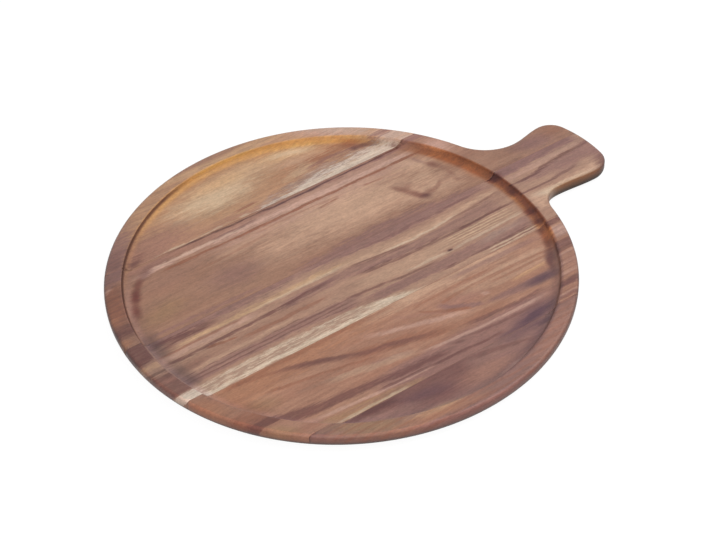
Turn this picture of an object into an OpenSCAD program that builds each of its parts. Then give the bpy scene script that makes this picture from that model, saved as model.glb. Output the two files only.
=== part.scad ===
// Round serving board with a paddle handle, edge-glued from five staves.
// Origin: centre of the disc on its flat underside. +X runs out along the handle, +Z is up.

/* [Disc] */
// Diameter of the round board
disc_d = 355; // [280:1:420]
// Thickness of the glued panel
board_t = 15; // [13:0.5:20]
// Radius of the round on the upper outer edge
top_round = 3; // [1:0.5:4]
// How far the curved undercut reaches in under the rim
undercut_w = 14; // [8:0.5:24]
// How high the curved undercut climbs up the rim
undercut_h = 10; // [4:0.5:11]

/* [Well] */
// Width of the rim between the board's edge and the well
rim_w = 12; // [8:0.5:25]
// Depth of the well below the rim
well_depth = 5; // [2:0.25:7]
// Radius of the cove at the foot of the well's wall
cove_r = 6; // [2:0.5:10]
// Radius of the round on the rim's inner edge
lip_r = 1.5; // [0.5:0.25:2.5]

/* [Handle] */
// Length of the handle beyond the disc
handle_l = 73.5; // [64:0.5:130]
// Width across the neck, the narrowest place
neck_w = 64; // [50:0.5:72]
// Width across the widest place, near the end
handle_w = 71.5; // [64:0.5:90]
// Radius of the corners at the end
corner_r = 17; // [12:0.5:28]
// Radius of the slightly crowned end
end_r = 110; // [60:1:200]
// Radius of the fillet where the handle's left side leaves the disc
left_root_r = 37; // [15:1:50]
// Radius of the fillet where the handle's right side leaves the disc
right_root_r = 22; // [15:1:50]
// Radius of the round on the handle's lower edge
handle_round = 8; // [3:0.5:10]

/* [Staves] */
// Width of the stave that runs through the disc's centre
middle_stave_w = 71.2; // [50:0.1:90]
// Width of the stave on the left of the middle one, looking out along the handle
left_stave_w = 79.3; // [50:0.1:90]
// Width of the stave on the right of the middle one
right_stave_w = 78; // [50:0.1:90]
// Sideways place of the middle stave's centre line
middle_stave_y = -16.4; // [-25:0.1:10]
// Angle from the handle's centre line to the grain
grain_turn = -2.3; // [-6:0.1:6]
// Thickness of the cured glue between two staves
glue_t = 0.2; // [0.1:0.05:0.5]

/* [Hidden] */

disc_r = disc_d / 2;
well_r = disc_r - rim_w;
well_floor_z = board_t - well_depth;

// The undercut leaves a narrow upright land below the top round
land_h = 0.5;
under_h = min(undercut_h, board_t - top_round - land_h);
handle_under = min(handle_round, board_t - top_round - land_h);

// Steps along each curve
disc_steps = 72;
root_steps = 10;
side_steps = 5;
corner_steps = 7;
end_steps = 4;
under_steps = 6;
top_steps = 4;
wall_steps = 8;

// Centre lines of the four joints, from left to right
left_joint_y = middle_stave_y + middle_stave_w / 2;
right_joint_y = middle_stave_y - middle_stave_w / 2;
left_cap_joint_y = left_joint_y + left_stave_w;
right_cap_joint_y = right_joint_y - right_stave_w;

// The blank each stave is sawn from runs past both ends of the board
blank_l = disc_d + handle_l;

// Handle outline: each root fillet touches the disc and the neck, each corner touches the crowned end
function root_y(root_r) = neck_w / 2 + root_r;
function root_x(root_r) = sqrt(pow(disc_r + root_r, 2) - pow(root_y(root_r), 2));
function root_angle(root_r) = atan2(root_y(root_r), root_x(root_r));
end_c_x = disc_r + handle_l - end_r;
corner_c_y = handle_w / 2 - corner_r;
corner_c_x = end_c_x + sqrt(pow(end_r - corner_r, 2) - pow(corner_c_y, 2));
end_angle = asin(corner_c_y / (end_r - corner_r));

// Smooth step from 0 to 1 with level ends, and its slope
function ease(t) = t * t * (3 - 2 * t);
function ease_slope(t) = 6 * t * (1 - t);

function reversed(list) = [for (i = [len(list) - 1 : -1 : 0]) list[i]];

// An outline point: x, y, outward normal x, y, and how far its edge belongs to the handle
function outline_arc(c_x, c_y, r, from, to, steps, sense, handle_from, handle_to) = [
    for (i = [0 : steps])
        let (a = from + (to - from) * i / steps)
        [
            c_x + r * cos(a), c_y + r * sin(a), sense * cos(a), sense * sin(a),
            handle_from + (handle_to - handle_from) * ease(i / steps)
        ]
];

// The handle's side swells gently from the neck to its widest place
function handle_side(root_r) = [
    for (i = [1 : side_steps - 1])
        let (
            t = i / side_steps,
            run = corner_c_x - root_x(root_r),
            rise = (handle_w - neck_w) / 2,
            tilt = atan2(rise * ease_slope(t), run)
        )
        [root_x(root_r) + run * t, neck_w / 2 + rise * ease(t), -sin(tilt), cos(tilt), 1]
];

// One half of the handle's outline, from the disc to its crowned end, as it lies on the left
function half_handle(root_r) = concat(
    outline_arc(root_x(root_r), root_y(root_r), root_r, 180 + root_angle(root_r), 270,
        root_steps, -1, 0, 1),
    handle_side(root_r),
    outline_arc(corner_c_x, corner_c_y, corner_r, 90, end_angle, corner_steps, 1, 1, 1)
);
left_side = half_handle(left_root_r);
right_side = [for (p = half_handle(right_root_r)) [p[0], -p[1], p[2], -p[3], p[4]]];
end_crown = outline_arc(end_c_x, 0, end_r, -end_angle, end_angle, end_steps, 1, 1, 1);
disc_edge = outline_arc(0, 0, disc_r, root_angle(left_root_r), 360 - root_angle(right_root_r),
    disc_steps, 1, 0, 0);

// Points shared by two stretches are kept once, and the loop runs counter-clockwise from above
function inner(list) = [for (i = [1 : len(list) - 2]) list[i]];
board_outline = concat(disc_edge, inner(right_side), [right_side[len(right_side) - 1]],
    inner(end_crown), [left_side[len(left_side) - 1]], inner(reversed(left_side)));

// Quarter curve at an edge, as inset from the outline and depth from the face.
// Its first point lies past the face, in line with the next one, so that the face cuts it cleanly.
function edge_curve(w, h, steps) = concat(
    [[w * (1 + sin(90 / steps)), -h * (1 - cos(90 / steps))]],
    [for (k = [1 : steps]) let (t = 90 * k / steps) [w * (1 - sin(t)), h * (1 - cos(t))]]
);

// Full edge section from the underside to the top, as inset and height
function edge_section(w, h) = concat(
    edge_curve(w, h, under_steps),
    [for (p = reversed(edge_curve(top_round, top_round, top_steps))) [p[0], board_t - p[1]]]
);
disc_section = edge_section(undercut_w, under_h);
handle_section = edge_section(handle_under, handle_under);

// The loft's caps fan out from a point that sees the whole outline
fan_x = disc_r / 2;

// Disc with its handle: the edge section swept round the outline, from undercut rim to handle edge
module paddle_blank() {
    count = len(board_outline);
    rings = len(disc_section);
    ring_points = [
        for (j = [0 : rings - 1], p = board_outline)
            let (e = disc_section[j] + (handle_section[j] - disc_section[j]) * p[4])
            [p[0] - p[2] * e[0], p[1] - p[3] * e[0], e[1]]
    ];
    low = count * rings;
    high = low + 1;
    caps = [[fan_x, 0, disc_section[0][1]], [fan_x, 0, disc_section[rings - 1][1]]];
    walls = [
        for (j = [0 : rings - 2], i = [0 : count - 1])
            let (k = (i + 1) % count, a = j * count, b = a + count)
            each [[a + i, b + i, b + k], [a + i, b + k, a + k]]
    ];
    lids = [
        for (i = [0 : count - 1])
            let (k = (i + 1) % count, top = (rings - 1) * count)
            each [[low, i, k], [high, top + k, top + i]]
    ];
    polyhedron(points = concat(ring_points, caps), faces = concat(walls, lids), convexity = 6);
}

// Disc alone, for staves that the handle does not touch
module disc_blank() {
    rim = [for (e = disc_section) [disc_r - e[0], e[1]]];
    last = rim[len(rim) - 1];
    rotate_extrude($fn = 180) polygon(concat([[0, rim[0][1]]], rim, [[0, last[1]]]));
}

// Round well with an ogee wall: a cove up from the floor, then the rounded lip
module well() {
    sweep = cove_r + lip_r;
    lean = acos(max(0, (sweep - well_depth) / sweep));
    foot_r = well_r - sweep * sin(lean);
    cove = [
        for (i = [0 : wall_steps])
            let (a = -90 + lean * i / wall_steps)
            [foot_r + cove_r * cos(a), well_floor_z + cove_r * (1 + sin(a))]
    ];
    lip = [
        for (i = [1 : top_steps - 1])
            let (a = 90 + lean * (1 - i / top_steps))
            [well_r + lip_r * cos(a), board_t + lip_r * (sin(a) - 1)]
    ];
    past = 2 * [well_r, board_t] - lip[len(lip) - 1];
    rotate_extrude($fn = 180)
        polygon(concat([[0, well_floor_z]], cove, lip, [past, [0, past[1]]]));
}

// What lies between two sideways places across the grain, cut out of the shaped board
module strip(y_from, y_to) {
    // Sideways reach of the handle and its fillets, measured across the grain
    root_r = max(left_root_r, right_root_r);
    reach = (disc_r + handle_l) * sin(abs(grain_turn)) + disc_r * sin(root_angle(root_r));
    difference() {
        intersection() {
            rotate([0, 0, grain_turn])
                translate([-blank_l, y_from, 0])
                    cube([2 * blank_l, y_to - y_from, board_t]);
            if (y_from < reach && y_to > -reach) paddle_blank();
            else disc_blank();
        }
        well();
    }
}

module stave(right_joint, left_joint) {
    strip(right_joint + glue_t / 2, left_joint - glue_t / 2);
}

module glue_line(joint_y) {
    strip(joint_y - glue_t / 2, joint_y + glue_t / 2);
}

module left_cap_stave() {
    color("#a9785a") stave(left_cap_joint_y, disc_r + glue_t);
}

module left_stave() {
    color("#a37a63") stave(left_joint_y, left_cap_joint_y);
}

module middle_stave() {
    color("#b08a6c") stave(right_joint_y, left_joint_y);
}

module right_stave() {
    color("#9c6a4c") stave(right_cap_joint_y, right_joint_y);
}

module right_cap_stave() {
    color("#8d6452") stave(-disc_r - glue_t, right_cap_joint_y);
}

module left_cap_glue_line() {
    color("#5d4138") glue_line(left_cap_joint_y);
}

module left_glue_line() {
    color("#5d4138") glue_line(left_joint_y);
}

module right_glue_line() {
    color("#5d4138") glue_line(right_joint_y);
}

module right_cap_glue_line() {
    color("#5d4138") glue_line(right_cap_joint_y);
}

left_cap_stave();
left_stave();
middle_stave();
right_stave();
right_cap_stave();
left_cap_glue_line();
left_glue_line();
right_glue_line();
right_cap_glue_line();
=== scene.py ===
"""Looks of a round paddle-handled serving board, edge-glued from five staves of oiled hardwood."""

import math

import bmesh
import bpy
from mathutils import Matrix, Vector


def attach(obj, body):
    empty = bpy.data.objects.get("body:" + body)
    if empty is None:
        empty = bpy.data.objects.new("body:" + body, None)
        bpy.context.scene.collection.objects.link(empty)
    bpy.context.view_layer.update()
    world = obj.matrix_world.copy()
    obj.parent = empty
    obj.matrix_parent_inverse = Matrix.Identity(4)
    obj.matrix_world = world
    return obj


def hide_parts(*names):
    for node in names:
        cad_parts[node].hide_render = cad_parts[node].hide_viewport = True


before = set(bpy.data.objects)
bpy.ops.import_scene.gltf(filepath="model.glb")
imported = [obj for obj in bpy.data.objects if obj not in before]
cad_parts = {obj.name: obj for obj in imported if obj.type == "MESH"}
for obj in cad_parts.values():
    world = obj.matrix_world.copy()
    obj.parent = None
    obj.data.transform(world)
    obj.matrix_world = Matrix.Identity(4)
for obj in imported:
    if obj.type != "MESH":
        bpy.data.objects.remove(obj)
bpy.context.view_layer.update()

MM = 0.001

# Sizes of the board in millimetres, the same as in the part's source
DISC_R = 177.5
BOARD_T = 15.0
TOP_ROUND = 3.0
UNDERCUT_W = 14.0
UNDERCUT_H = 10.0
RIM_W = 12.0
WELL_DEPTH = 5.0
COVE_R = 6.0
LIP_R = 1.5
HANDLE_L = 73.5
NECK_W = 64.0
HANDLE_W = 71.5
CORNER_R = 17.0
END_R = 110.0
LEFT_ROOT_R = 37.0
RIGHT_ROOT_R = 22.0
HANDLE_ROUND = 8.0
MIDDLE_STAVE_W = 71.2
LEFT_STAVE_W = 79.3
RIGHT_STAVE_W = 78.0
MIDDLE_STAVE_Y = -16.4
GRAIN_TURN = math.radians(-2.3)
GLUE_T = 0.2

WELL_R = DISC_R - RIM_W
FLOOR_Z = BOARD_T - WELL_DEPTH

# Steps along each curve of the shaped board
DISC_STEPS = 260
ROOT_STEPS = 28
SIDE_STEPS = 14
CORNER_STEPS = 20
END_STEPS = 14
WELL_STEPS = 300
UNDER_STEPS = 12
TOP_STEPS = 8
COVE_STEPS = 10
LIP_STEPS = 6
# Width of the narrow flat ring that keeps each large face level up to its rounded edge
KEEPER_W = 0.6

# Joint lines across the grain, from left to right looking out along the handle
LEFT_JOINT = MIDDLE_STAVE_Y + MIDDLE_STAVE_W / 2
RIGHT_JOINT = MIDDLE_STAVE_Y - MIDDLE_STAVE_W / 2
LEFT_CAP_JOINT = LEFT_JOINT + LEFT_STAVE_W
RIGHT_CAP_JOINT = RIGHT_JOINT - RIGHT_STAVE_W


def ease(t):
    """A soft course from 0 to 1."""
    return t * t * (3 - 2 * t)


def outline_arc(centre_x, centre_y, radius, start, end, steps, sense, handle_from, handle_to):
    """Outline points on an arc: x, y, outward normal, and how far the edge belongs to the handle."""
    points = []
    for i in range(steps + 1):
        angle = start + (end - start) * i / steps
        across, up = math.cos(angle), math.sin(angle)
        share = handle_from + (handle_to - handle_from) * ease(i / steps)
        points.append((centre_x + radius * across, centre_y + radius * up,
                       sense * across, sense * up, share))
    return points


def root_centre(root_r):
    """Centre of the fillet between the disc and the handle's left side."""
    y = NECK_W / 2 + root_r
    x = math.sqrt((DISC_R + root_r) ** 2 - y ** 2)
    return x, y


# Centres of the handle's crowned end and of its corners, and the angle where they meet
END_C_X = DISC_R + HANDLE_L - END_R
CORNER_C_Y = HANDLE_W / 2 - CORNER_R
CORNER_C_X = END_C_X + math.sqrt((END_R - CORNER_R) ** 2 - CORNER_C_Y ** 2)
END_ANGLE = math.asin(CORNER_C_Y / (END_R - CORNER_R))


def half_handle(root_r):
    """The handle's left half from the disc to its crowned end: fillet, swelling side, corner."""
    root_x, root_y = root_centre(root_r)
    start = math.pi + math.atan2(root_y, root_x)
    points = outline_arc(root_x, root_y, root_r, start, 1.5 * math.pi, ROOT_STEPS, -1, 0, 1)
    run = CORNER_C_X - root_x
    rise = (HANDLE_W - NECK_W) / 2
    for i in range(1, SIDE_STEPS):
        t = i / SIDE_STEPS
        tilt = math.atan2(rise * 6 * t * (1 - t), run)
        points.append((root_x + run * t, NECK_W / 2 + rise * ease(t),
                       -math.sin(tilt), math.cos(tilt), 1))
    points += outline_arc(CORNER_C_X, CORNER_C_Y, CORNER_R, math.pi / 2, END_ANGLE,
                          CORNER_STEPS, 1, 1, 1)
    return points


def board_outline():
    """The whole outline once round, counter-clockwise from above."""
    left = half_handle(LEFT_ROOT_R)
    right = [(x, -y, nx, -ny, share) for x, y, nx, ny, share in half_handle(RIGHT_ROOT_R)]
    crown = outline_arc(END_C_X, 0, END_R, -END_ANGLE, END_ANGLE, END_STEPS, 1, 1, 1)
    left_x, left_y = root_centre(LEFT_ROOT_R)
    right_x, right_y = root_centre(RIGHT_ROOT_R)
    disc = outline_arc(0, 0, DISC_R, math.atan2(left_y, left_x),
                       2 * math.pi - math.atan2(right_y, right_x), DISC_STEPS, 1, 0, 0)
    return disc + right[1:] + crown[1:-1] + left[:0:-1]


def edge_section(width, height):
    """The edge from the underside to the top, as inset from the outline and height."""
    rings = [(width + KEEPER_W, 0.0)]
    for i in range(UNDER_STEPS + 1):
        t = math.pi / 2 * i / UNDER_STEPS
        rings.append((width * (1 - math.sin(t)), height * (1 - math.cos(t))))
    for i in range(TOP_STEPS + 1):
        t = math.pi / 2 * i / TOP_STEPS
        rings.append((TOP_ROUND * (1 - math.cos(t)), BOARD_T - TOP_ROUND * (1 - math.sin(t))))
    rings.append((TOP_ROUND + KEEPER_W, BOARD_T))
    return rings


def well_section():
    """The well from the rim down to the floor, as radius and height."""
    sweep = COVE_R + LIP_R
    lean = math.acos((sweep - WELL_DEPTH) / sweep)
    foot_r = WELL_R - sweep * math.sin(lean)
    rings = [(WELL_R + KEEPER_W, BOARD_T)]
    for i in range(LIP_STEPS):
        a = math.pi / 2 + lean * i / LIP_STEPS
        rings.append((WELL_R + LIP_R * math.cos(a), BOARD_T + LIP_R * (math.sin(a) - 1)))
    for i in range(COVE_STEPS, -1, -1):
        a = -math.pi / 2 + lean * i / COVE_STEPS
        rings.append((foot_r + COVE_R * math.cos(a), FLOOR_Z + COVE_R * (1 + math.sin(a))))
    rings.append((foot_r - KEEPER_W, FLOOR_Z))
    return rings


def skin(mesh, lower, upper):
    """Smooth quads between two closed rings of equal length."""
    count = len(lower)
    for i in range(count):
        k = (i + 1) % count
        mesh.faces.new((lower[i], lower[k], upper[k], upper[i])).smooth = True


def ring_edges(mesh, *rings):
    """The edges round closed rings of corners."""
    found = []
    for ring in rings:
        for i in range(len(ring)):
            found.append(mesh.edges.get((ring[i], ring[(i + 1) % len(ring)])))
    return found


def shape_board():
    """The glued panel as one closed skin: routed well, rim, handle and undercut edge."""
    mesh = bmesh.new()
    outline = board_outline()
    disc_edge = edge_section(UNDERCUT_W, UNDERCUT_H)
    handle_edge = edge_section(HANDLE_ROUND, HANDLE_ROUND)
    edge_rings = []
    for (disc_in, disc_z), (handle_in, handle_z) in zip(disc_edge, handle_edge):
        ring = []
        for x, y, nx, ny, share in outline:
            inset = disc_in + (handle_in - disc_in) * share
            height = disc_z + (handle_z - disc_z) * share
            ring.append(mesh.verts.new((x - nx * inset, y - ny * inset, height)))
        edge_rings.append(ring)
    well_rings = []
    for radius, height in well_section():
        turns = [2 * math.pi * i / WELL_STEPS for i in range(WELL_STEPS)]
        well_rings.append([mesh.verts.new((radius * math.cos(a), radius * math.sin(a), height))
                           for a in turns])
    for rings in (edge_rings, well_rings):
        for lower, upper in zip(rings, rings[1:]):
            skin(mesh, lower, upper)
    mesh.faces.new(well_rings[-1])
    for edges in (ring_edges(mesh, edge_rings[-1], well_rings[0]), ring_edges(mesh, edge_rings[0])):
        bmesh.ops.triangle_fill(mesh, use_beauty=True, use_dissolve=False, edges=edges)
    bmesh.ops.recalc_face_normals(mesh, faces=mesh.faces)
    return mesh


# Direction across the grain, to the left looking out along the handle
ACROSS = Vector((-math.sin(GRAIN_TURN), math.cos(GRAIN_TURN), 0))
# Corners nearer than this to a saw cut lie on it
SAW_REACH = 1e-6


def saw(mesh, place, keep_left):
    """Cuts along the grain and closes the sawn face with one flat polygon."""
    parts = mesh.verts[:] + mesh.edges[:] + mesh.faces[:]
    cut = bmesh.ops.bisect_plane(mesh, geom=parts, dist=SAW_REACH, plane_co=ACROSS * place,
                                 plane_no=ACROSS, clear_inner=keep_left, clear_outer=not keep_left)
    edges = [part for part in cut["geom_cut"] if isinstance(part, bmesh.types.BMEdge)]
    bmesh.ops.edgeloop_fill(mesh, edges=edges)


def cut_piece(board, name, right_side, left_side, node, material):
    """One strip of the shaped board between two joints, standing for its CAD node."""
    mesh = board.copy()
    if right_side is not None:
        saw(mesh, right_side, True)
    if left_side is not None:
        saw(mesh, left_side, False)
    bmesh.ops.recalc_face_normals(mesh, faces=mesh.faces)
    bmesh.ops.scale(mesh, vec=(MM, MM, MM), verts=mesh.verts)
    data = bpy.data.meshes.new(name)
    mesh.to_mesh(data)
    mesh.free()
    data.materials.append(material)
    piece = bpy.data.objects.new(name, data)
    bpy.context.scene.collection.objects.link(piece)
    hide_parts(node)
    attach(piece, "root")
    return piece


# Sockets of a mix node that take and give colours
MIX_FIRST = 6
MIX_SECOND = 7
MIX_RESULT = 2


class NodeBench:
    """Adds nodes to one tree, taking plain numbers or sockets alike."""

    def __init__(self, tree):
        self.tree = tree

    def node(self, kind, **settings):
        """A new node with some of its settings."""
        made = self.tree.nodes.new(kind)
        for name, value in settings.items():
            setattr(made, name, value)
        return made

    def feed(self, socket, value):
        """Links a socket or sets a plain value."""
        if isinstance(value, bpy.types.NodeSocket):
            self.tree.links.new(value, socket)
        else:
            socket.default_value = value

    def fill(self, made, *values):
        """Feeds a node's inputs in their order and gives its first output."""
        for socket, value in zip(made.inputs, values):
            self.feed(socket, value)
        return made.outputs[0]

    def math(self, operation, *values):
        """The result of one operation on numbers or sockets."""
        return self.fill(self.node("ShaderNodeMath", operation=operation), *values)

    def product(self, first, *others):
        """All values multiplied."""
        for other in others:
            first = self.math("MULTIPLY", first, other)
        return first

    def spread(self, noise, reach, middle):
        """Noise turned into a swing of a reach to both sides of a middle."""
        return self.math("MULTIPLY_ADD", self.math("SUBTRACT", noise, 0.5), reach, middle)

    def share(self, value, start, end, low=0.0, high=1.0, course="LINEAR"):
        """A value turned from one range into another."""
        made = self.node("ShaderNodeMapRange", interpolation_type=course, clamp=False)
        return self.fill(made, value, start, end, low, high)

    def ease(self, value, start, end, low=0.0, high=1.0):
        """Low at the start and high at the end, with a soft course between them."""
        return self.share(value, start, end, low, high, "SMOOTHSTEP")

    def point(self, x, y, z):
        """Three numbers as one vector."""
        return self.fill(self.node("ShaderNodeCombineXYZ"), x, y, z)

    def vector(self, operation, *values):
        """A number taken from vectors, as a length or a dot product."""
        made = self.node("ShaderNodeVectorMath", operation=operation)
        self.fill(made, *values)
        return made.outputs["Value"]

    def noise(self, along, across, depth, scales, detail=2.0, roughness=0.5):
        """Noise stretched to its own scale along the grain, across it and in depth."""
        parts = [self.math("MULTIPLY", value, scale)
                 for value, scale in zip((along, across, depth), scales)]
        place = self.point(*parts)
        made = self.node("ShaderNodeTexNoise")
        self.feed(made.inputs["Vector"], place)
        made.inputs["Scale"].default_value = 1.0
        made.inputs["Detail"].default_value = detail
        made.inputs["Roughness"].default_value = roughness
        return made.outputs[0]

    def mix(self, share, first, second, blend="MIX"):
        """Two colours mixed by a share of the second."""
        made = self.node("ShaderNodeMix", data_type="RGBA", blend_type=blend)
        self.feed(made.inputs[0], share)
        self.feed(made.inputs[MIX_FIRST], first)
        self.feed(made.inputs[MIX_SECOND], second)
        return made.outputs[MIX_RESULT]

    def group(self, tree, **values):
        """A group of nodes, fed by the names of its inputs."""
        made = self.node("ShaderNodeGroup", node_tree=tree)
        for name, value in values.items():
            self.feed(made.inputs[name.replace("_", " ")], value)
        return made.outputs


def new_group(name, inputs, outputs):
    """An empty group of nodes with its bench, its inputs and its outputs."""
    tree = bpy.data.node_groups.new(name, "ShaderNodeTree")
    for sockets, side in ((inputs, "INPUT"), (outputs, "OUTPUT")):
        for socket in sockets:
            tree.interface.new_socket(name=socket, in_out=side, socket_type="NodeSocketFloat")
    bench = NodeBench(tree)
    return bench, bench.node("NodeGroupInput").outputs, bench.node("NodeGroupOutput").inputs


def grain_frame_group():
    """Place in millimetres along the grain, across it and in depth, and how the surface faces."""
    bench, _, out = new_group("grain frame", [],
                              ["Along", "Across", "Depth", "Reach", "Toward handle", "Steep"])
    place = bench.node("ShaderNodeTexCoord").outputs
    along_grain = (math.cos(GRAIN_TURN), math.sin(GRAIN_TURN), 0)
    parts = {}
    for name, way in (("Along", along_grain), ("Across", ACROSS), ("Depth", (0, 0, 1))):
        parts[name] = bench.math("DIVIDE", bench.vector("DOT_PRODUCT", place["Object"], way), MM)
        bench.feed(out[name], parts[name])
    reach = bench.vector("LENGTH", bench.point(parts["Along"], parts["Across"], 0.0))
    bench.feed(out["Reach"], reach)
    bench.feed(out["Toward handle"], bench.math("DIVIDE", parts["Along"], reach))
    upright = bench.node("ShaderNodeSeparateXYZ")
    bench.feed(upright.inputs[0], place["Normal"])
    level = bench.math("ABSOLUTE", upright.outputs[2])
    bench.feed(out["Steep"], bench.math("SUBTRACT", 1.0, level))
    return bench.tree


# Bend of the fibres: scales along the grain, across it and in depth, and reach in millimetres
FIBRE_BEND = (0.03, 0.08, 0.08)
FIBRE_BEND_REACH = 5.0
# Layers of tone from clouds to specks: scales along and across, detail, roughness and strength
FIBRE_LAYERS = {
    "clouds": (0.022, 0.06, 3.0, 0.6, 0.45),
    "blotches": (0.11, 0.3, 3.0, 0.65, 0.40),
    "streaks": (0.012, 0.45, 4.0, 0.6, 0.40),
    "threads": (0.2, 0.9, 3.0, 0.65, 0.46),
    "specks": (0.5, 0.8, 2.0, 0.6, 0.46),
}
# Pores: scales, the noise between which they open, and what they take from tone and relief
PORES = (0.15, 3.1, 3.1)
PORES_OPEN = (0.62, 0.74)
PORE_TONE = -0.13
PORE_RELIEF = -0.8


def fibre_group():
    """Fine lines of the wood: long fibre streaks, short dark pores and their relief."""
    bench, given, out = new_group("fibre", ["Along", "Across", "Depth"], ["Tone", "Relief"])
    along, depth = given["Along"], given["Depth"]
    bend = bench.noise(along, given["Across"], depth, FIBRE_BEND)
    across = bench.spread(bend, FIBRE_BEND_REACH, given["Across"])
    shade = 1.0
    layers = {}
    for name, (long, wide, detail, roughness, strength) in FIBRE_LAYERS.items():
        layers[name] = bench.noise(along, across, depth, (long, wide, wide), detail, roughness)
        shade = bench.spread(layers[name], strength, shade)
    pores = bench.ease(bench.noise(along, across, depth, PORES, detail=1.0), *PORES_OPEN)
    bench.feed(out["Tone"], bench.math("MULTIPLY_ADD", pores, PORE_TONE, shade))
    bench.feed(out["Relief"], bench.math("MULTIPLY_ADD", pores, PORE_RELIEF, layers["threads"]))
    return bench.tree


def streak_group():
    """Mask of a streak between two edges across the grain, soft on each side and ragged."""
    bench, given, out = new_group(
        "streak", ["Across", "Upper edge", "Lower edge", "Upper soft", "Lower soft", "Ends", "Ragged"],
        ["Mask"])
    below = bench.math("SUBTRACT", given["Upper edge"], given["Across"])
    below = bench.math("MULTIPLY_ADD", given["Ragged"], given["Upper soft"], below)
    above = bench.math("SUBTRACT", given["Across"], given["Lower edge"])
    above = bench.math("MULTIPLY_ADD", given["Ragged"], given["Lower soft"], above)
    mask = bench.product(bench.ease(below, 0.0, given["Upper soft"]),
                         bench.ease(above, 0.0, given["Lower soft"]), given["Ends"])
    mask = bench.math("MULTIPLY_ADD", mask, given["Ragged"], mask)
    bench.feed(out["Mask"], bench.math("MINIMUM", bench.math("MAXIMUM", mask, 0.0), 1.0))
    return bench.tree


def patch_group():
    """Mask of a soft oval patch, tilted in the plane of the board."""
    bench, given, out = new_group(
        "patch", ["Along", "Across", "Centre along", "Centre across", "Half length", "Half width",
                  "Tilt", "Soft", "Ragged"], ["Mask"])
    along = bench.math("SUBTRACT", given["Along"], given["Centre along"])
    across = bench.math("SUBTRACT", given["Across"], given["Centre across"])
    turn_cos = bench.math("COSINE", given["Tilt"])
    turn_sin = bench.math("SINE", given["Tilt"])
    longwise = bench.math("ADD", bench.product(along, turn_cos), bench.product(across, turn_sin))
    sidewise = bench.math("SUBTRACT", bench.product(across, turn_cos),
                          bench.product(along, turn_sin))
    offset = bench.point(bench.math("DIVIDE", longwise, given["Half length"]),
                         bench.math("DIVIDE", sidewise, given["Half width"]), 0.0)
    ragged = bench.math("ADD", bench.vector("LENGTH", offset), given["Ragged"])
    inner = bench.math("SUBTRACT", 1.0, given["Soft"])
    bench.feed(out["Mask"], bench.ease(ragged, inner, 1.0, 1.0, 0.0))
    return bench.tree


GRAIN_FRAME = grain_frame_group()
FIBRE = fibre_group()
STREAK = streak_group()
PATCH = patch_group()


# Light that the oiled surface mirrors on top of the wood's own colour, the light it stands in, and
# the least that any wood gives back
SHEEN = 0.045
LIGHT = (1.01, 1.0, 0.98)
DARKEST = 0.012


def tone(red, green, blue):
    """A colour as seen on the finished board, 0 to 255, turned into the wood's own colour."""
    parts = []
    for value, level in zip((red, green, blue), LIGHT):
        share = value / 255
        # The brightness curve of a screen, undone
        light = share / 12.92 if share <= 0.04045 else ((share + 0.055) / 1.055) ** 2.4
        parts.append(max((light - SHEEN) / level, DARKEST))
    return (*parts, 1.0)


# Colours of the wood as they look on the finished board
IVORY = tone(224, 205, 183)
PEARL = tone(212, 195, 180)
CREAM = tone(207, 184, 160)
SAP = tone(192, 170, 156)
STRAW = tone(206, 177, 147)
HONEY = tone(212, 169, 126)
GOLD = tone(198, 162, 128)
BEIGE = tone(195, 159, 135)
TAN = tone(181, 148, 126)
PINK = tone(196, 159, 143)
GREY = tone(180, 156, 140)
OLIVE = tone(160, 128, 99)
BROWN = tone(154, 119, 103)
ROSE = tone(162, 122, 107)
ORANGE = tone(174, 126, 99)
RUST = tone(144, 99, 82)
MAROON = tone(114, 72, 64)
MAUVE = tone(141, 108, 102)
PLUM = tone(112, 80, 77)
SLATE = tone(100, 78, 84)
INK = tone(92, 63, 57)
COCOA = tone(134, 95, 84)


# Slow to quick sway of the grain: scales along it, across it and in depth, and reach in millimetres
SWAYS = (((0.008, 0.03, 0.03), 3.0), ((0.05, 0.15, 0.15), 4.0), ((0.2, 0.6, 0.6), 1.2))
# Noise that frays the streaks, in flecks or in finer dashes, and that mottles the ground, each with
# the two values between which it rises
FLECKS = (0.07, 0.6, 0.6)
FLECKS_RISE = (0.3, 0.7)
DASHES = (0.14, 1.1, 1.1)
DASHES_RISE = (0.38, 0.62)
MOTTLES = (0.008, 0.11, 0.11)
MOTTLES_RISE = (0.32, 0.68)
FINE_DETAIL = 3.0
MOTTLE_DETAIL = 4.0
NOISE_ROUGH = 0.65
# How ragged flecks, ripples, patches and knots are, and how soft patches and knots
FLECK_BREAKS = 2.4
RIPPLE_BREAKS = 1.4
PATCH_BREAKS = 0.4
KNOT_BREAKS = 0.25
PATCH_SOFT = 0.9
KNOT_SOFT = 0.95
# Height of the wave from which on a ripple is full
RIPPLE_CREST = 0.9
# Heights that differ by less than this make a level line
LEVEL = 0.01


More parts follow.
